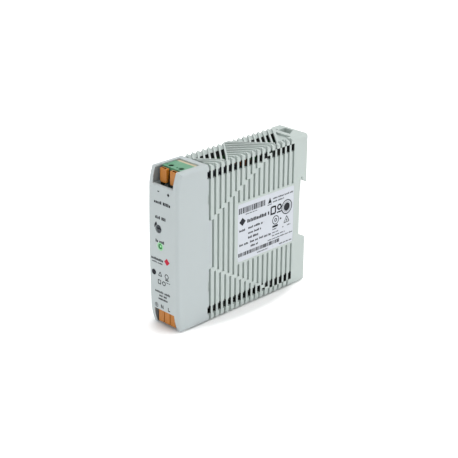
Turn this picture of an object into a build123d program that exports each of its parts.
from build123d import *
import os
from math import atan2, cos, radians, sin

# DIN rail power supply, one module wide.
# Frame, in millimetres: X across the module (+X is the label side), Y from the front panel
# (-Y) to the rail (+Y), Z up. The origin is the middle of the footprint, at the bottom.

# ---------------------------------------------------------------- driving dimensions
WIDTH = 22.5
HEIGHT = 90.0
DEPTH = 100.0
HALF_W = WIDTH / 2
FRONT = -DEPTH / 2
BACK = DEPTH / 2

EDGE_R = 1.8              # rounding of the long outer edges
SIDE_WALL = 2.0
ROOF_WALL = 2.4
CAVITY_BACK = 42.3        # inner face of the housing's back wall

# Ribs: grooves that run up the side, step back in the middle band and wrap over the edges
PITCH = 3.874
GROOVE_0 = -26.3          # the seam between cap and housing
GROOVE_W = 1.45
GROOVE_DEPTH = 1.4
ROOF_GROOVE_DEPTH = 1.4
GROOVE_COUNT = 17
STEP_BACK = 2.38          # how far the middle band stands back from the outer bands
STEP_TOP_0 = 59.0         # height of the upper step at the seam
STEP_TOP_RISE = 2.25      # rise of that step from one groove to the next
STEP_LOW_0 = 31.0
STEP_LOW_FALL = 2.3
LEFT_SHIFT = -0.25 * PITCH  # the left side's grooves sit a quarter pitch further forward

# Vent slots through the side walls
VENT_TOP = (82.2, 86.5)
VENT_LOW = (4.2, 8.6)
VENT_FRONT = 1.7          # reach of a slot in front of its groove's centre
VENT_REAR = 0.65

VENT_WALL = 1.0           # the side wall is thinned behind the vents

# Herringbone fins on the top and bottom faces
FIN_T = 0.95
ZIGZAG = 5.0              # half a zigzag, in grooves
RIGHT_CORNER = 3.25       # groove number at which the zigzag first meets the right edge
SLOT_START = 5.0          # where a fin gap opens into a through slot, from the centre line
SLOT_END = 9.0
STUB_X = HALF_W - 2.6     # inner end of the short fins beside the rear field
REAR_FIELD_Y = 38.4       # where the plain top of the hook begins
REAR_FIELD_EDGE = 45.7    # where the rear field's slanting side would meet the left edge

# Rail hook and foot, for a 35 mm top hat rail
RECESS_Y = 44.3
LIP_Z = 61.7
LIP_Y = (46.2, 48.8)      # inner face of the hook's lip, and the end of the slope below it
LIP_SLOPE_Z = 64.2
HOOK_ROOF_Z = 65.2
FOOT_TOP_IN = 30.2
FOOT_TOP_OUT = 27.6

# Label pad on the right side
LABEL_Y = (-5.2, 39.4)
LABEL_Z = (28.0, 61.8)
LABEL_T = 0.13
PAD_Z = (26.8, 63.0)
FIRST_PAD_GROOVE = 5

# Seam: the housing's tongue goes into the cap
SEAM_HALF = GROOVE_W / 2
TONGUE_X = HALF_W - GROOVE_DEPTH
TONGUE_T = 1.6
TONGUE_TIP = -29.5
TONGUE_ROOT = -21.5
SNAP_Z = ((18.2, 23.6), (68.2, 73.6))

# Front cap
CAP_WALL = 1.6
PANEL_T = 1.8
NOTCH_X = 7.75
NOTCH_BACK = -30.3
TOP_NOTCH_Z = 80.9
LOW_NOTCH_Z = 9.7
TOP_SHELF = (77.2, 78.8)  # wall under the output terminal
LOW_SHELF = (11.2, 12.8)  # wall over the input terminal
TRIMMER_AT = (-3.0, 56.8)
TRIMMER_HOLE_R = 2.4
LED_AT = (-1.7, 47.2)
LED_HOLE_R = 1.5

# Terminals and their release levers
OUT_X = (-3.81, 3.81)
IN_X = (-4.6, 0.0, 4.6)
OUT_TOP = 89.4
IN_BOTTOM = 0.8
WIRE_Y = -39.6
WIRE_R = 1.4
WIRE_LEAD_R = 1.75
WIRE_DEPTH = 6.5          # of the first entry; each further one ends a little sooner
WIRE_DEPTH_STEP = 0.2
LEVER_T = 1.1             # at the root; a lever is thicker at its tip
LEVER_REACH = 2.8         # from the pivot to the lever's front face
LEVER_CORNER_R = 0.8      # rounding of the root's two corners
OUT_PIVOT = (-42.6, 81.5)
OUT_TIP_Z = 88.9
OUT_TIP_T = 2.2
IN_PIVOT = (-44.6, 8.5)
IN_TIP_Z = 1.3
IN_TIP_T = 1.5
PIVOT_R = 0.6
PIVOT_HOLE_R = 0.65
HUB_R = 1.0

# Circuit board
BOARD_X = (-7.6, -6.0)

os.makedirs("parts", exist_ok=True)


# ---------------------------------------------------------------- helpers
def block(x, y, z, mode=Mode.ADD):
    """Add or cut a box given by its lowest and highest X, Y and Z."""
    with Locations(((x[0] + x[1]) / 2, (y[0] + y[1]) / 2, (z[0] + z[1]) / 2)):
        Box(x[1] - x[0], y[1] - y[0], z[1] - z[0], mode=mode)


def rod(centre, along, radius, length, mode=Mode.ADD):
    """Add or cut a cylinder about its centre, along "X", "Y" or "Z"."""
    turn = {"X": (0, 90, 0), "Y": (90, 0, 0), "Z": (0, 0, 0)}[along]
    with Locations(Location(centre, turn)):
        Cylinder(radius, length, mode=mode)


def save(part, name):
    """Label a finished piece and write it under its node's name."""
    part.label = name
    export_step(part, "parts/" + name + ".step")


def groove_y(k):
    """Centre of groove k in the outer bands."""
    return GROOVE_0 + k * PITCH


def step_top(k):
    return STEP_TOP_0 + k * STEP_TOP_RISE


def step_low(k):
    return STEP_LOW_0 - k * STEP_LOW_FALL


def strip(y, z):
    """Add a rectangle to a sketch on a YZ plane."""
    with Locations(((y[0] + y[1]) / 2, (z[0] + z[1]) / 2)):
        Rectangle(y[1] - y[0], z[1] - z[0])


# ---------------------------------------------------------------- ribs and vents
def groove_strips(k, shift, with_pad):
    """The stretches of groove k as (y range, z range)."""
    half = GROOVE_W / 2
    outer = groove_y(k) + shift
    middle = outer + STEP_BACK
    low = max(step_low(k), VENT_LOW[0])
    top = min(step_top(k), VENT_TOP[1])
    strips = [((outer - half, outer + half), (-1, low))]
    strips.append(((outer - half, outer + half), (top, HEIGHT + 1)))
    if with_pad and k >= FIRST_PAD_GROOVE:
        strips.append(((middle - half, middle + half), (low, PAD_Z[0])))
        strips.append(((middle - half, middle + half), (PAD_Z[1], top)))
    else:
        strips.append(((middle - half, middle + half), (low, top)))
    return strips


def vent_strips(k, shift):
    """The vent slots of groove k, which step back where the groove does."""
    outer = groove_y(k) + shift
    places = []
    for rows, step, upward in ((VENT_TOP, step_top(k), True), (VENT_LOW, step_low(k), False)):
        at_outer = step < rows[0] + 0.6 if upward else step > rows[1] - 0.8
        at_middle = step > rows[1] if upward else step < rows[0] + 0.6
        if at_outer:
            places.append((outer, rows))
        elif at_middle:
            places.append((outer + STEP_BACK, rows))
        else:
            beyond = (step - 0.5, rows[1]) if upward else (rows[0], step + 0.2)
            within = (rows[0], step + 0.5) if upward else (step + 0.2, rows[1])
            places.append((outer, beyond))
            places.append((outer + STEP_BACK, within))
    return [((y - VENT_FRONT, y + VENT_REAR), z) for y, z in places]


def cut_side(side, shift, with_pad):
    """Cut the grooves and vents of one side wall (side is +1 or -1)."""
    with BuildSketch(Plane.YZ.offset(side * (HALF_W - GROOVE_DEPTH))) as grooves:
        for k in range(1, GROOVE_COUNT):
            for y, z in groove_strips(k, shift, with_pad):
                strip(y, z)
    extrude(grooves.sketch, amount=side * (GROOVE_DEPTH + 1), mode=Mode.SUBTRACT)
    with BuildSketch(Plane.YZ.offset(side * (HALF_W - 3.5))) as vents:
        for k in range(1, GROOVE_COUNT):
            for y, z in vent_strips(k, shift):
                strip(y, z)
    extrude(vents.sketch, amount=side * 4.5, mode=Mode.SUBTRACT)


# ---------------------------------------------------------------- herringbone
SLOPE = ZIGZAG * PITCH / WIDTH
FIN_ANGLE = atan2(SLOPE, 1)
GAP_HALF_Y = (PITCH - FIN_T / cos(FIN_ANGLE)) / 2
REACH_X = HALF_W + 1


def fin_field(base_side, corner, grooves, limit_x):
    """Sketch the gaps between the fins of one triangle of the herringbone.

    base_side is +1 or -1, corner the groove number of the triangle's tip on the other side,
    grooves the groove numbers at its base, limit_x the range of X that is kept.
    """
    inset = FIN_T / 2 / sin(FIN_ANGLE)
    tip_x = -base_side * (HALF_W - inset)
    spread = SLOPE * (REACH_X + abs(tip_x))
    for number in grooves:
        start = groove_y(number) + SLOPE * (REACH_X - HALF_W)
        end = groove_y(number) - SLOPE * (REACH_X + HALF_W)
        near = base_side * REACH_X
        Polygon(
            (near, start - GAP_HALF_Y),
            (near, start + GAP_HALF_Y),
            (-near, end + GAP_HALF_Y),
            (-near, end - GAP_HALF_Y),
            align=None,
        )
    Polygon(
        (tip_x, groove_y(corner)),
        (base_side * REACH_X, groove_y(corner) + spread),
        (base_side * REACH_X, groove_y(corner) - spread),
        align=None,
        mode=Mode.INTERSECT,
    )
    with Locations(((limit_x[0] + limit_x[1]) / 2, 0)):
        Rectangle(limit_x[1] - limit_x[0], DEPTH, mode=Mode.INTERSECT)


FIELDS = (
    # base side, tip's groove number, groove numbers at the base
    (+1, RIGHT_CORNER - ZIGZAG, (1, 2, 3)),
    (-1, RIGHT_CORNER, [n - 0.25 for n in range(-1, 9)]),
    (+1, RIGHT_CORNER + ZIGZAG, range(4, 14)),
    (-1, RIGHT_CORNER + 2 * ZIGZAG, [n - 0.25 for n in range(9, 19)]),
    (+1, RIGHT_CORNER + 3 * ZIGZAG, (14, 15, 16)),
)


def cut_rear_field(floor_z, outward):
    """Cut the sunken field without fins between the last long fin and the hook."""
    slant_x = (REAR_FIELD_EDGE - REAR_FIELD_Y) / SLOPE - HALF_W
    slant_y = REAR_FIELD_EDGE - SLOPE * (STUB_X + HALF_W)
    with BuildSketch(Plane.XY.offset(floor_z)) as field:
        Polygon(
            (slant_x, REAR_FIELD_Y),
            (STUB_X + 0.05, REAR_FIELD_Y),
            (STUB_X + 0.05, slant_y),
            align=None,
        )
    extrude(field.sketch, amount=outward * (ROOF_GROOVE_DEPTH + 1), mode=Mode.SUBTRACT)


def cut_fins(floor_z, outward):
    """Cut the herringbone of the top (outward +1) or bottom (outward -1) face."""
    for number, (base, corner, grooves) in enumerate(FIELDS):
        last = number == len(FIELDS) - 1
        reach = (STUB_X, REACH_X) if last else (-REACH_X, REACH_X)
        with BuildSketch(Plane.XY.offset(floor_z)) as gaps:
            fin_field(base, corner, grooves, reach)
        extrude(gaps.sketch, amount=outward * (ROOF_GROOVE_DEPTH + 1), mode=Mode.SUBTRACT)
        if last:
            cut_rear_field(floor_z, outward)
            continue
        slots = (-SLOT_START, SLOT_END) if base < 0 else (-SLOT_END, SLOT_START)
        with BuildSketch(Plane.XY.offset(floor_z)) as openings:
            fin_field(base, corner, grooves, slots)
        below = ROOF_WALL - ROOF_GROOVE_DEPTH + 1
        extrude(openings.sketch, amount=-outward * below, mode=Mode.SUBTRACT)


# ---------------------------------------------------------------- rear housing
HOUSING_FRONT = GROOVE_0 + SEAM_HALF
CHANNEL_X = 5.3
CHANNEL_Y = (46.1, 49.2)

# pocket in the hook's top, a trapezium that gets deeper towards the rail
POCKET_FRONT_Y = 41.5
POCKET_BACK_Y = 47.5
with BuildPart() as hook_pocket:
    with BuildSketch(Plane.XY.offset(HEIGHT - 7)):
        Polygon(
            (-3.9, POCKET_FRONT_Y),
            (5.1, POCKET_FRONT_Y),
            (1.9, POCKET_BACK_Y),
            (-4.3, POCKET_BACK_Y),
            align=None,
        )
    extrude(amount=8)
    with BuildSketch(Plane.YZ.offset(-HALF_W)):
        Polygon(
            (POCKET_FRONT_Y, HEIGHT - 1.5),
            (POCKET_BACK_Y, HEIGHT - 5.5),
            (POCKET_BACK_Y, HEIGHT + 1),
            (POCKET_FRONT_Y, HEIGHT + 1),
            align=None,
        )
    extrude(amount=WIDTH, mode=Mode.INTERSECT)

with BuildPart() as rear_housing:
    with BuildSketch(Plane.XZ.offset(-BACK)):
        with Locations((0, HEIGHT / 2)):
            RectangleRounded(WIDTH, HEIGHT, EDGE_R)
    extrude(amount=BACK - HOUSING_FRONT)

    # rail recess with its hook and foot
    with BuildSketch(Plane.YZ.offset(-HALF_W - 1)):
        Polygon(
            (RECESS_Y, FOOT_TOP_IN),
            (BACK + 1, FOOT_TOP_OUT - 0.45),
            (BACK + 1, LIP_Z),
            (LIP_Y[1], LIP_Z),
            (LIP_Y[0], LIP_SLOPE_Z),
            (LIP_Y[0], HOOK_ROOF_Z),
            (RECESS_Y + 0.6, HOOK_ROOF_Z),
            (RECESS_Y + 0.5, LIP_Z - 0.5),
            (RECESS_Y, LIP_Z - 5),
            align=None,
        )
    extrude(amount=WIDTH + 2, mode=Mode.SUBTRACT)
    corner_edges = (
        rear_housing.edges()
        .filter_by(Axis.Z)
        .filter_by(lambda e: e.center().Y > BACK - 0.1 and abs(e.center().X) > HALF_W - 0.1)
    )
    fillet(corner_edges, 0.8)

    # hollow inside, open at the front
    block(
        (-HALF_W + SIDE_WALL, HALF_W - SIDE_WALL),
        (FRONT, CAVITY_BACK),
        (ROOF_WALL, HEIGHT - ROOF_WALL),
        Mode.SUBTRACT,
    )
    # the middle band starts further back
    block(
        (-HALF_W - 1, HALF_W + 1),
        (HOUSING_FRONT - 1, HOUSING_FRONT + STEP_BACK),
        (STEP_LOW_0, STEP_TOP_0),
        Mode.SUBTRACT,
    )
    # tongue that goes into the cap
    block(
        (-TONGUE_X, TONGUE_X),
        (TONGUE_TIP, TONGUE_ROOT),
        (ROOF_GROOVE_DEPTH, HEIGHT - ROOF_GROOVE_DEPTH),
    )
    block(
        (-TONGUE_X + TONGUE_T, TONGUE_X - TONGUE_T),
        (TONGUE_TIP - 1, TONGUE_ROOT + 1),
        (ROOF_GROOVE_DEPTH + TONGUE_T, HEIGHT - ROOF_GROOVE_DEPTH - TONGUE_T),
        Mode.SUBTRACT,
    )
    # ribs that hold the board's long edges
    for z in ((ROOF_WALL, ROOF_WALL + 2.4), (HEIGHT - ROOF_WALL - 2.4, HEIGHT - ROOF_WALL)):
        block((BOARD_X[1] + 0.1, BOARD_X[1] + 1.1), (-20, CAVITY_BACK), z)
        block((BOARD_X[0] - 1.1, BOARD_X[0] - 0.1), (-20, CAVITY_BACK), z)

    # channels behind the vents, so that the wall is thin there and the tongue is parted
    for side in (-1, 1):
        for z in (VENT_TOP, VENT_LOW):
            outer = side * (HALF_W - VENT_WALL)
            wall = sorted((side * (HALF_W - SIDE_WALL - 0.05), outer))
            block(wall, (TONGUE_ROOT, CAVITY_BACK), z, Mode.SUBTRACT)
            tongue = sorted((side * (TONGUE_X - TONGUE_T - 0.05), outer))
            block(tongue, (TONGUE_TIP - 1, TONGUE_ROOT), z, Mode.SUBTRACT)

    # ribs, vents and fins
    cut_side(+1, 0.0, True)
    cut_side(-1, LEFT_SHIFT, False)
    cut_fins(HEIGHT - ROOF_GROOVE_DEPTH, +1)
    cut_fins(ROOF_GROOVE_DEPTH, -1)

    # the snap windows go into the tongue
    for side in (-1, 1):
        for z in SNAP_Z:
            block(
                sorted((side * (TONGUE_X - 1.2), side * HALF_W)),
                (GROOVE_0 - 1.45, GROOVE_0 - 0.1),
                z,
                Mode.SUBTRACT,
            )

    # pocket and small blind hole in the hook's top
    add(hook_pocket.part, mode=Mode.SUBTRACT)
    rod((-5.3, 41.9, HEIGHT), "Z", 0.65, 3.2, Mode.SUBTRACT)

    # channel of the rail latch, open at both ends, with the spring's seat across it
    block((-CHANNEL_X, CHANNEL_X), CHANNEL_Y, (-1, FOOT_TOP_IN + 1), Mode.SUBTRACT)
    block((-3.2, 3.2), (CHANNEL_Y[1] - 0.1, BACK + 1), (-1, 6.5), Mode.SUBTRACT)
    block((-1.6, 1.6), (CHANNEL_Y[0] - 0.1, CHANNEL_Y[1] + 0.1), (9.0, 10.6))

    # seat of the label
    block(
        (HALF_W - LABEL_T, HALF_W + 1),
        (LABEL_Y[0] - 0.05, LABEL_Y[1] + 0.05),
        (LABEL_Z[0] - 0.05, LABEL_Z[1] + 0.05),
        Mode.SUBTRACT,
    )
save(rear_housing.part, "rear_housing")

# ---------------------------------------------------------------- front cap
CAP_BACK = GROOVE_0 - SEAM_HALF

with BuildPart() as front_cap:
    with BuildSketch(Plane.YZ.offset(-HALF_W)):
        with BuildLine():
            Polyline((-47.0, 0), (CAP_BACK, 0), (CAP_BACK, STEP_LOW_0 + 0.1),
                     (CAP_BACK + STEP_BACK, STEP_LOW_0 + 0.1),
                     (CAP_BACK + STEP_BACK, STEP_TOP_0 - 0.1),
                     (CAP_BACK, STEP_TOP_0 - 0.1), (CAP_BACK, HEIGHT), (-46.8, HEIGHT))
            ThreePointArc((-46.8, HEIGHT), (-48.65, 84.6), (-49.5, 77.5))
            ThreePointArc((-49.5, 77.5), (FRONT, 44.5), (-49.5, 11.5))
            ThreePointArc((-49.5, 11.5), (-48.6, 5.0), (-47.0, 0))
        make_face()
    extrude(amount=WIDTH)
    # soft outer edges, except along the seam
    front_edges = front_cap.edges().filter_by(
        lambda e: abs(e.center().X) > HALF_W - 0.1 and e.center().Y < CAP_BACK - 1
    )
    fillet(front_edges, EDGE_R)

    # hollow behind the panel
    block(
        (-HALF_W + CAP_WALL, HALF_W - CAP_WALL),
        (-49.5 + PANEL_T, 0),
        (LOW_SHELF[1], TOP_SHELF[0]),
        Mode.SUBTRACT,
    )
    # room for the housing's tongue
    block(
        (-TONGUE_X - 0.1, TONGUE_X + 0.1),
        (TONGUE_TIP - 0.3, 0),
        (ROOF_GROOVE_DEPTH - 0.1, HEIGHT - ROOF_GROOVE_DEPTH + 0.1),
        Mode.SUBTRACT,
    )
    # terminal notches, each with a deeper pocket for the terminal's body
    block((-NOTCH_X, NOTCH_X), (FRONT - 1, NOTCH_BACK), (TOP_NOTCH_Z, HEIGHT + 1), Mode.SUBTRACT)
    block((-NOTCH_X, NOTCH_X), (-47.6, NOTCH_BACK), (TOP_SHELF[1], HEIGHT), Mode.SUBTRACT)
    block((-NOTCH_X, NOTCH_X), (FRONT - 1, NOTCH_BACK), (-1, LOW_NOTCH_Z), Mode.SUBTRACT)
    block((-NOTCH_X, NOTCH_X), (-47.0, NOTCH_BACK), (0, LOW_SHELF[0]), Mode.SUBTRACT)
    # bevelled sill of the top notch
    with BuildSketch(Plane.YZ.offset(-NOTCH_X)):
        Polygon((FRONT - 1, TOP_NOTCH_Z - 0.9), (FRONT + 1.9, TOP_NOTCH_Z + 0.1),
                (FRONT - 1, TOP_NOTCH_Z + 0.1), align=None)
    extrude(amount=2 * NOTCH_X, mode=Mode.SUBTRACT)
    # slots for the contact bars in both shelves
    block((-6.0, 6.0), (-34.6, -32.8), (TOP_SHELF[0] - 1, TOP_SHELF[1] + 1), Mode.SUBTRACT)
    block((-6.6, 6.6), (-34.6, -32.8), (LOW_SHELF[0] - 1, LOW_SHELF[1] + 1), Mode.SUBTRACT)
    # holes for the trimmer and the light window
    rod((TRIMMER_AT[0], FRONT, TRIMMER_AT[1]), "Y", TRIMMER_HOLE_R, 8, Mode.SUBTRACT)
    rod((LED_AT[0], FRONT, LED_AT[1]), "Y", LED_HOLE_R, 8, Mode.SUBTRACT)
    # the seam's vents and the snap windows
    for side in (-1, 1):
        for z in (VENT_TOP, VENT_LOW):
            block(
                sorted((side * (TONGUE_X - 0.5), side * (HALF_W + 1))),
                (GROOVE_0 - VENT_FRONT - 0.1, 0),
                z,
                Mode.SUBTRACT,
            )
        for z in SNAP_Z:
            block(
                sorted((side * (TONGUE_X - 0.5), side * (HALF_W + 1))),
                (GROOVE_0 - 1.45, 0),
                z,
                Mode.SUBTRACT,
            )
save(front_cap.part, "front_cap")

# ---------------------------------------------------------------- label
with BuildPart() as rating_label:
    with BuildSketch(Plane.YZ.offset(HALF_W - LABEL_T)):
        with Locations(((LABEL_Y[0] + LABEL_Y[1]) / 2, (LABEL_Z[0] + LABEL_Z[1]) / 2)):
            RectangleRounded(LABEL_Y[1] - LABEL_Y[0], LABEL_Z[1] - LABEL_Z[0], 1.2)
    extrude(amount=LABEL_T)
save(rating_label.part, "rating_label")

# ---------------------------------------------------------------- rail latch
LATCH_X = 5.0
LATCH_Y = (46.4, 48.9)
LATCH_Z = (2.2, 31.3)
SPRING_R = 1.05
SPRING_WIRE_R = 0.17
SPRING_Z = (10.65, 21.8)
SPRING_Y = (LATCH_Y[0] + LATCH_Y[1]) / 2

with BuildPart() as rail_latch:
    with BuildSketch(Plane.YZ.offset(-LATCH_X)):
        Polygon(
            (LATCH_Y[0], LATCH_Z[0]),
            (LATCH_Y[1], LATCH_Z[0]),
            (LATCH_Y[1], LATCH_Z[1] - 3.0),
            (LATCH_Y[0] + 0.9, LATCH_Z[1]),
            (LATCH_Y[0], LATCH_Z[1]),
            align=None,
        )
    extrude(amount=2 * LATCH_X)
    # window for the spring and its seat
    block((-2.0, 2.0), (LATCH_Y[0] - 1, LATCH_Y[1] + 1), (8.6, SPRING_Z[1] + 0.05), Mode.SUBTRACT)
    # slot for a screwdriver in the pull tab
    block((-2.4, 2.4), (LATCH_Y[0] + 0.8, LATCH_Y[1] + 1), (3.6, 5.0), Mode.SUBTRACT)
save(rail_latch.part, "rail_latch")

with BuildPart() as latch_spring:
    height = SPRING_Z[1] - SPRING_Z[0] - 2 * SPRING_WIRE_R
    with BuildLine():
        coil = Helix(
            pitch=height / 9,
            height=height,
            radius=SPRING_R,
            center=(0, SPRING_Y, SPRING_Z[0] + SPRING_WIRE_R),
        )
    with BuildSketch(Plane(origin=coil @ 0, z_dir=coil % 0)):
        Circle(SPRING_WIRE_R)
    sweep()
save(latch_spring.part, "latch_spring")

# ---------------------------------------------------------------- release levers


def make_lever(centre_x, pivot, tip, plate_w, stem_w, name):
    """A rocking lever: wedge-shaped plate, stem, hub with two trunnions, and a toe.

    tip is the height of the plate's free end and its thickness there.
    """
    pivot_y, pivot_z = pivot
    tip_z, tip_t = tip
    up = 1 if tip_z > pivot_z else -1
    face_y = pivot_y - LEVER_REACH
    root_z = pivot_z - up * 0.3
    with BuildPart() as lever:
        with BuildSketch(Plane.YZ.offset(centre_x - plate_w / 2)):
            Polygon(
                (face_y, root_z),
                (face_y + LEVER_T, root_z),
                (face_y + tip_t, tip_z),
                (face_y, tip_z),
                align=None,
            )
        extrude(amount=plate_w)
        corners = lever.edges().filter_by(Axis.Y).group_by(Axis.Z)[0 if up > 0 else -1]
        fillet(corners, LEVER_CORNER_R)
        fillet(lever.edges().filter_by(Axis.Z).group_by(Axis.Y)[0], 0.35)
        tip_edges = lever.edges().filter_by(Axis.X).group_by(Axis.Z)[-1 if up > 0 else 0]
        fillet(tip_edges.sort_by(Axis.Y)[:1], 0.35)
        # slot for the tip of a screwdriver
        block(
            (centre_x - plate_w * 0.3, centre_x + plate_w * 0.3),
            (face_y + 0.5, face_y + tip_t - 0.5),
            sorted((tip_z - up * 2.0, tip_z + up)),
            Mode.SUBTRACT,
        )
        block(
            (centre_x - stem_w / 2, centre_x + stem_w / 2),
            (face_y + 0.5, pivot_y),
            sorted((root_z, pivot_z + up * 0.9)),
        )
        rod((centre_x, pivot_y, pivot_z), "X", HUB_R, stem_w)
        rod((centre_x, pivot_y, pivot_z), "X", PIVOT_R, stem_w + 1.6)
        block(
            (centre_x - 0.8, centre_x + 0.8),
            (pivot_y, pivot_y + 2.2),
            sorted((pivot_z - up * 0.9, pivot_z - up * 0.1)),
        )
    save(lever.part, name)


OUT_LEVER_W = 5.0
OUT_STEM_W = 3.4
IN_LEVER_W = 4.2
IN_STEM_W = 2.2
OUT_TIP = (OUT_TIP_Z, OUT_TIP_T)
IN_TIP = (IN_TIP_Z, IN_TIP_T)
make_lever(OUT_X[0], OUT_PIVOT, OUT_TIP, OUT_LEVER_W, OUT_STEM_W, "output_lever_minus")
make_lever(OUT_X[1], OUT_PIVOT, OUT_TIP, OUT_LEVER_W, OUT_STEM_W, "output_lever_plus")
for centre, name in zip(IN_X, ("earth", "neutral", "line")):
    make_lever(centre, IN_PIVOT, IN_TIP, IN_LEVER_W, IN_STEM_W, "input_lever_" + name)

# ---------------------------------------------------------------- terminals
LEAF_T = 0.3
LEAF_W = 2.6
CLAMP_Y = (-37.9, -34.4)
BAR_Y = (-34.1, -33.3)


def make_terminal(centres, pivot, z_open, z_inner, cheek_front, body_front, stem_w, name):
    """A terminal body: wire entries at z_open, lever slots, bearings and clamp chambers."""
    up = 1 if z_open > z_inner else -1
    pivot_y, pivot_z = pivot
    half_x = NOTCH_X - 0.15
    cheek_z = pivot_z + up * 1.6
    with BuildPart() as body:
        block((-half_x, half_x), (body_front, -32.7), sorted((z_inner, z_open)))
        block((-half_x, half_x), (cheek_front, body_front), sorted((z_inner, cheek_z)))
        for number, x in enumerate(centres):
            slot_x = (x - stem_w / 2 - 0.3, x + stem_w / 2 + 0.3)
            slot_z = sorted((z_inner - up, pivot_z + up * 1.3))
            block(slot_x, (cheek_front - 1, pivot_y + 2.6), slot_z, Mode.SUBTRACT)
            chamber_z = sorted((z_inner - up, z_open - up * 3.0))
            block((x - 1.6, x + 1.6), CLAMP_Y, chamber_z, Mode.SUBTRACT)
            block((x - 1.6, x + 1.6), (BAR_Y[0] - 0.15, BAR_Y[1] + 0.15), chamber_z, Mode.SUBTRACT)
            depth = WIRE_DEPTH - number * WIRE_DEPTH_STEP
            rod((x, WIRE_Y, z_open - up * depth / 2), "Z", WIRE_R, depth, Mode.SUBTRACT)
            with Locations(Location((x, WIRE_Y, z_open - up * 0.2), (0, 0 if up > 0 else 180, 0))):
                Cone(WIRE_R, WIRE_LEAD_R, 0.4, mode=Mode.SUBTRACT)
            if up > 0:
                block((x - 3.1, x - 2.2), (-40.6, -39.4), (z_open - 1.5, z_open + 1), Mode.SUBTRACT)
        rod((0, pivot_y, pivot_z), "X", PIVOT_HOLE_R, 2 * half_x + 2, Mode.SUBTRACT)
    save(body.part, name)


make_terminal(OUT_X, OUT_PIVOT, OUT_TOP, TOP_SHELF[1] + 0.1, -43.6, -42.3, OUT_STEM_W,
              "output_terminal_body")
make_terminal(IN_X, IN_PIVOT, IN_BOTTOM, LOW_SHELF[0] - 0.1, -45.9, -44.5, IN_STEM_W,
              "input_terminal_body")


def make_clamps(centres, z_inner, z_open, name):
    """One bent leaf spring for each wire entry."""
    up = 1 if z_open > z_inner else -1
    foot = z_inner + up * 0.6
    head = z_open - up * 3.6
    with BuildPart() as springs:
        for x in centres:
            with BuildSketch(Plane.YZ.offset(x - LEAF_W / 2)):
                with BuildLine() as path:
                    Polyline(
                        (CLAMP_Y[1] - 0.4, head),
                        (CLAMP_Y[1] - 0.4, foot),
                        (CLAMP_Y[0] + 1.2, foot),
                        (CLAMP_Y[0] + 0.5, head - up * 2.2),
                    )
                    offset(amount=LEAF_T / 2, side=Side.BOTH)
                make_face()
            extrude(amount=LEAF_W)
    save(springs.part, name)


make_clamps(OUT_X, TOP_SHELF[1] + 0.1, OUT_TOP, "output_clamp_springs")
make_clamps(IN_X, LOW_SHELF[0] - 0.1, IN_BOTTOM, "input_clamp_springs")


def make_bars(centres, z_far, z_turns, name):
    """Contact bars: each runs along the clamp, through the shelf, then across to the board."""
    with BuildPart() as bars:
        for x, z_turn in zip(centres, z_turns):
            block((x - 1.2, x + 1.2), BAR_Y, sorted((z_far, z_turn)))
            lug = (z_turn - 0.4, z_turn + 0.4)
            block((BOARD_X[1] + 0.05, x + 1.2), (BAR_Y[0], BAR_Y[1] + 1.2), lug)
    save(bars.part, name)


make_bars(OUT_X, OUT_TOP - 3.4, (74.5, 70.5), "output_contact_bars")
make_bars(IN_X, IN_BOTTOM + 3.4, (15.5, 18.0, 20.5), "input_contact_bars")

with BuildPart() as output_terminal_carrier:
    block((-NOTCH_X + 0.15, NOTCH_X - 0.15), (-32.6, NOTCH_BACK - 0.1), (TOP_SHELF[1] + 0.1, 89.2))
    fillet(output_terminal_carrier.edges().filter_by(Axis.Y), 0.3)
save(output_terminal_carrier.part, "output_terminal_carrier")

# ---------------------------------------------------------------- trimmer and light window
TRIMMER_SLOT_Y = -48.5    # floor of the screwdriver slot
with BuildPart() as trimmer_body:
    block((TRIMMER_AT[0] - 2.9, TRIMMER_AT[0] + 3.2), (-44.6, -41.2),
          (TRIMMER_AT[1] - 3.2, TRIMMER_AT[1] + 3.2))
    rod((TRIMMER_AT[0], -44.6, TRIMMER_AT[1]), "Y", 2.05, 4.0, Mode.SUBTRACT)
save(trimmer_body.part, "trimmer_body")

with BuildPart() as trimmer_rotor:
    rod((TRIMMER_AT[0], -44.7, TRIMMER_AT[1]), "Y", 2.0, 4.0)
    # head in the panel's hole, with a slot and a pointer notch
    rod((TRIMMER_AT[0], -48.0, TRIMMER_AT[1]), "Y", TRIMMER_HOLE_R - 0.2, 2.8)
    fillet(trimmer_rotor.edges().group_by(Axis.Y)[0], 0.3)
    block((TRIMMER_AT[0] - 1.5, TRIMMER_AT[0] + 1.5), (-50, TRIMMER_SLOT_Y),
          (TRIMMER_AT[1] - 0.35, TRIMMER_AT[1] + 0.35), Mode.SUBTRACT)
    block((TRIMMER_AT[0] - 0.35, TRIMMER_AT[0] + 0.35), (-50, TRIMMER_SLOT_Y),
          (TRIMMER_AT[1] - 0.35, TRIMMER_AT[1] + 1.5), Mode.SUBTRACT)
save(trimmer_rotor.part, "trimmer_rotor")

with BuildPart() as trimmer_bracket:
    block((BOARD_X[1] + 0.05, TRIMMER_AT[0] + 3.2), (-41.1, -40.1),
          (TRIMMER_AT[1] - 3.2, TRIMMER_AT[1] + 3.2))
save(trimmer_bracket.part, "trimmer_bracket")

with BuildPart() as status_window:
    rod((LED_AT[0], -47.75, LED_AT[1]), "Y", LED_HOLE_R - 0.05, 3.9)
    fillet(status_window.edges().group_by(Axis.Y)[0], 0.4)
    rod((LED_AT[0], -46.9, LED_AT[1]), "Y", 2.1, 1.0)
save(status_window.part, "status_window")

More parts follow.
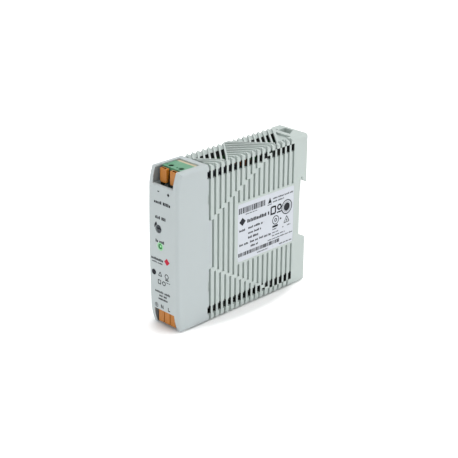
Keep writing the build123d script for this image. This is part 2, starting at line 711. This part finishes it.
with BuildPart() as status_led:
    rod((LED_AT[0], -44.0, LED_AT[1]), "Y", 1.45, 2.8)
    fillet(status_led.edges().group_by(Axis.Y)[0], 1.2)
    rod((LED_AT[0], -42.4, LED_AT[1]), "Y", 1.8, 0.8)
    for z in (-0.7, 0.7):
        block((LED_AT[0] - 0.2, LED_AT[0] + 0.2), (-42.2, -40.6),
              (LED_AT[1] + z - 0.2, LED_AT[1] + z + 0.2))
        block((BOARD_X[1] + 0.05, LED_AT[0] + 0.2), (-41.0, -40.6),
              (LED_AT[1] + z - 0.2, LED_AT[1] + z + 0.2))
save(status_led.part, "status_led")

# ---------------------------------------------------------------- board and insulation
BOARD_BACK = 41.8
NECK_Y = -29.7
NECK_Z = (13.4, 76.6)
BOARD_Z = (3.4, 86.6)

with BuildPart() as main_board:
    block(BOARD_X, (NECK_Y, BOARD_BACK), BOARD_Z)
    block(BOARD_X, (-45.5, NECK_Y), NECK_Z)
    for y, z in ((-22, 8), (-22, 82), (37, 8), (37, 82)):
        rod((BOARD_X[0], y, z), "X", 1.5, 8, Mode.SUBTRACT)
save(main_board.part, "main_board")

with BuildPart() as insulation_sheet:
    block((-9.15, -8.9), (-19.5, BOARD_BACK - 0.5), (5.2, 84.8))
save(insulation_sheet.part, "insulation_sheet")

# ---------------------------------------------------------------- components on the board
SEAT = BOARD_X[1] + 0.05  # components stand on the board's right face, towards +X


def can_capacitor(y, z, radius, height):
    """A radial electrolytic can standing on the board, with its crimp groove."""
    rod((SEAT + height / 2, y, z), "X", radius, height)
    with Locations(Location((SEAT + 1.8, y, z), (0, 90, 0))):
        Torus(radius + 0.15, 0.5, mode=Mode.SUBTRACT)
    with Locations(Location((SEAT + height, y, z), (0, 90, 0))):
        Box(0.5, 2 * radius, 0.7, mode=Mode.SUBTRACT)


with BuildPart() as input_capacitor:
    can_capacitor(-2.0, 19.5, 6.4, 14.8)
save(input_capacitor.part, "input_capacitor")

with BuildPart() as output_capacitors:
    can_capacitor(-14.5, 78.0, 5.0, 13.5)
    can_capacitor(-3.0, 78.0, 5.0, 13.5)
save(output_capacitors.part, "output_capacitors")

CORE_Y = (0.0, 22.0)
CORE_Z = (38.0, 62.0)
WINDOW = 4.4
CORE_X = (-3.2, 6.2)
CORE_MID_Z = (CORE_Z[0] + CORE_Z[1]) / 2
CORE_MID_Y = (CORE_Y[0] + CORE_Y[1]) / 2

with BuildPart() as transformer_core:
    for half_z in ((CORE_Z[0], CORE_MID_Z - 0.05), (CORE_MID_Z + 0.05, CORE_Z[1])):
        block(CORE_X, CORE_Y, half_z)
    for y in ((CORE_Y[0] + 3, CORE_MID_Y - 3), (CORE_MID_Y + 3, CORE_Y[1] - 3)):
        block((CORE_X[0] - 1, CORE_X[1] + 1), y, (CORE_Z[0] + 4, CORE_Z[1] - 4), Mode.SUBTRACT)
save(transformer_core.part, "transformer_core")

BOBBIN_Y = (CORE_Y[0] + 3.2, CORE_Y[1] - 3.2)
BOBBIN_Z = (CORE_Z[0] + 4.2, CORE_Z[1] - 4.2)

with BuildPart() as transformer_bobbin:
    for z in ((BOBBIN_Z[0], BOBBIN_Z[0] + 0.9), (BOBBIN_Z[1] - 0.9, BOBBIN_Z[1])):
        block((CORE_X[0] - 1.6, CORE_X[1] + 1.6), BOBBIN_Y, z)
    block((CORE_X[0] - 0.9, CORE_X[1] + 0.9), (CORE_MID_Y - 3.9, CORE_MID_Y + 3.9), BOBBIN_Z)
    block((CORE_X[0] - 0.1, CORE_X[1] + 0.1), (CORE_MID_Y - 3.1, CORE_MID_Y + 3.1),
          (BOBBIN_Z[0] - 1, BOBBIN_Z[1] + 1), Mode.SUBTRACT)
    for z in (BOBBIN_Z[0] + 0.45, BOBBIN_Z[1] - 0.45):
        for y in (-5, -2.5, 0, 2.5, 5):
            rod((SEAT + 0.6, CORE_MID_Y + y, z), "X", 0.35, 1.2)
save(transformer_bobbin.part, "transformer_bobbin")

with BuildPart() as transformer_winding:
    with BuildSketch(Plane.XY.offset(BOBBIN_Z[0] + 1.0)):
        with Locations(((CORE_X[0] + CORE_X[1]) / 2, CORE_MID_Y)):
            RectangleRounded(CORE_X[1] - CORE_X[0] + 2.8, 11.4, 1.6)
            Rectangle(CORE_X[1] - CORE_X[0] + 1.9, 7.9, mode=Mode.SUBTRACT)
    extrude(amount=BOBBIN_Z[1] - BOBBIN_Z[0] - 2.0)
save(transformer_winding.part, "transformer_winding")

CHOKE_AT = (-13.5, 36.5)
TURN_ANGLE = 17           # degrees from one turn of the choke's winding to the next
with BuildPart() as choke_core:
    with Locations(Location((SEAT + 5.2, CHOKE_AT[0], CHOKE_AT[1]), (0, 90, 0))):
        Cylinder(6.6, 4.6)
        Cylinder(3.2, 5, mode=Mode.SUBTRACT)
save(choke_core.part, "choke_core")

with BuildPart() as choke_windings:
    for side in (-1, 1):
        for turn in range(-3, 4):
            angle = radians(turn * TURN_ANGLE)
            reach = 4.9
            y = CHOKE_AT[0] + side * reach * cos(angle)
            z = CHOKE_AT[1] + side * reach * sin(angle)
            with Locations(Location((SEAT + 5.2, y, z), (turn * TURN_ANGLE, 0, 0))):
                Box(6.0, 4.9, 0.9)
                Box(4.7, 3.7, 1.0, mode=Mode.SUBTRACT)
save(choke_windings.part, "choke_windings")

with BuildPart() as x_capacitor:
    block((SEAT, SEAT + 11.0), (-20.0, -8.0), (8.5, 14.0))
    fillet(x_capacitor.edges().filter_by(Axis.X), 0.5)
save(x_capacitor.part, "x_capacitor")

with BuildPart() as y_capacitors:
    for z in (46.5, 51.5):
        rod((SEAT + 4.6, -14.0, z), "Z", 3.6, 2.6)
        for y in (-1.6, 1.6):
            rod((SEAT + 0.9, -14.0 + y, z), "X", 0.3, 1.8)
save(y_capacitors.part, "y_capacitors")

with BuildPart() as fuse:
    rod((SEAT + 4.0, -22.5, 22.0), "X", 3.9, 8.0)
    fillet(fuse.edges().group_by(Axis.X)[-1], 0.8)
save(fuse.part, "fuse")

with BuildPart() as varistor:
    rod((SEAT + 6.5, -33.5, 27.5), "Z", 4.6, 3.4)
    for y in (-2.4, 2.4):
        rod((SEAT + 1.5, -33.5 + y, 27.5), "X", 0.35, 3.0)
save(varistor.part, "varistor")

with BuildPart() as inrush_thermistor:
    rod((SEAT + 5.4, -33.5, 33.5), "Z", 3.8, 2.8)
    for y in (-1.9, 1.9):
        rod((SEAT + 1.2, -33.5 + y, 33.5), "X", 0.3, 2.4)
save(inrush_thermistor.part, "inrush_thermistor")

with BuildPart() as bridge_rectifier:
    block((SEAT + 0.6, SEAT + 4.6), (8.0, 16.0), (8.0, 14.0))
    for y in (9.2, 11.1, 12.9, 14.8):
        block((SEAT, SEAT + 0.7), (y - 0.3, y + 0.3), (10.7, 11.3))
save(bridge_rectifier.part, "bridge_rectifier")


def spreader(y, z):
    """A heat spreader: an upright plate on the board with a folded foot."""
    block((SEAT, SEAT + 14.0), (y, y + 1.5), z)
    block((SEAT, SEAT + 1.5), (y, y + 6.0), z)


def power_device(y, z):
    """A plastic power package lying against the plate, with three legs to the board."""
    block((SEAT + 3.4, SEAT + 12.6), (y - 4.4, y - 0.05), (z - 5.0, z + 5.0))
    for leg in (-2.54, 0, 2.54):
        block((SEAT, SEAT + 3.5), (y - 2.6, y - 2.0), (z + leg - 0.4, z + leg + 0.4))


with BuildPart() as primary_heat_spreader:
    spreader(26.0, (12.0, 30.0))
save(primary_heat_spreader.part, "primary_heat_spreader")

with BuildPart() as switching_transistor:
    power_device(26.0, 20.0)
save(switching_transistor.part, "switching_transistor")

with BuildPart() as secondary_heat_spreader:
    spreader(30.0, (66.0, 83.0))
save(secondary_heat_spreader.part, "secondary_heat_spreader")

with BuildPart() as output_diode:
    power_device(30.0, 74.0)
save(output_diode.part, "output_diode")

with BuildPart() as spreader_screws:
    for y, z in ((26.0, 20.0), (30.0, 74.0)):
        rod((SEAT + 10.6, y + 2.5, z), "Y", 2.4, 1.8)
    for y, z in ((26.0, 20.0), (30.0, 74.0)):
        block((SEAT + 8.8, SEAT + 12.4), (y + 2.6, y + 4), (z - 0.4, z + 0.4), Mode.SUBTRACT)
save(spreader_screws.part, "spreader_screws")

with BuildPart() as output_inductor:
    rod((SEAT + 6.0, 12.0, 76.0), "X", 5.6, 12.0)
    rod((SEAT + 6.0, 12.0, 76.0), "X", 7.0, 8.6, Mode.SUBTRACT)
    rod((SEAT + 6.0, 12.0, 76.0), "X", 3.4, 8.8)
save(output_inductor.part, "output_inductor")

with BuildPart() as inductor_winding:
    rod((SEAT + 6.0, 12.0, 76.0), "X", 5.1, 8.4)
    rod((SEAT + 6.0, 12.0, 76.0), "X", 3.5, 9.0, Mode.SUBTRACT)
save(inductor_winding.part, "inductor_winding")

with BuildPart() as optocoupler:
    block((SEAT + 0.5, SEAT + 4.0), (-3.3, 3.3), (65.6, 70.2))
    for y in (-1.27, 1.27):
        for z in (64.7, 71.1):
            block((SEAT, SEAT + 1.6), (y - 0.3, y + 0.3), (z - 0.2, z + 0.2))
        block((SEAT + 1.2, SEAT + 1.6), (y - 0.3, y + 0.3), (64.5, 71.3))
save(optocoupler.part, "optocoupler")

with BuildPart() as controller_chip:
    block((SEAT + 0.3, SEAT + 1.8), (28.0, 33.0), (44.0, 48.0))
    for y in (28.6, 29.87, 31.14, 32.4):
        block((SEAT, SEAT + 0.8), (y - 0.2, y + 0.2), (43.0, 49.0))
save(controller_chip.part, "controller_chip")
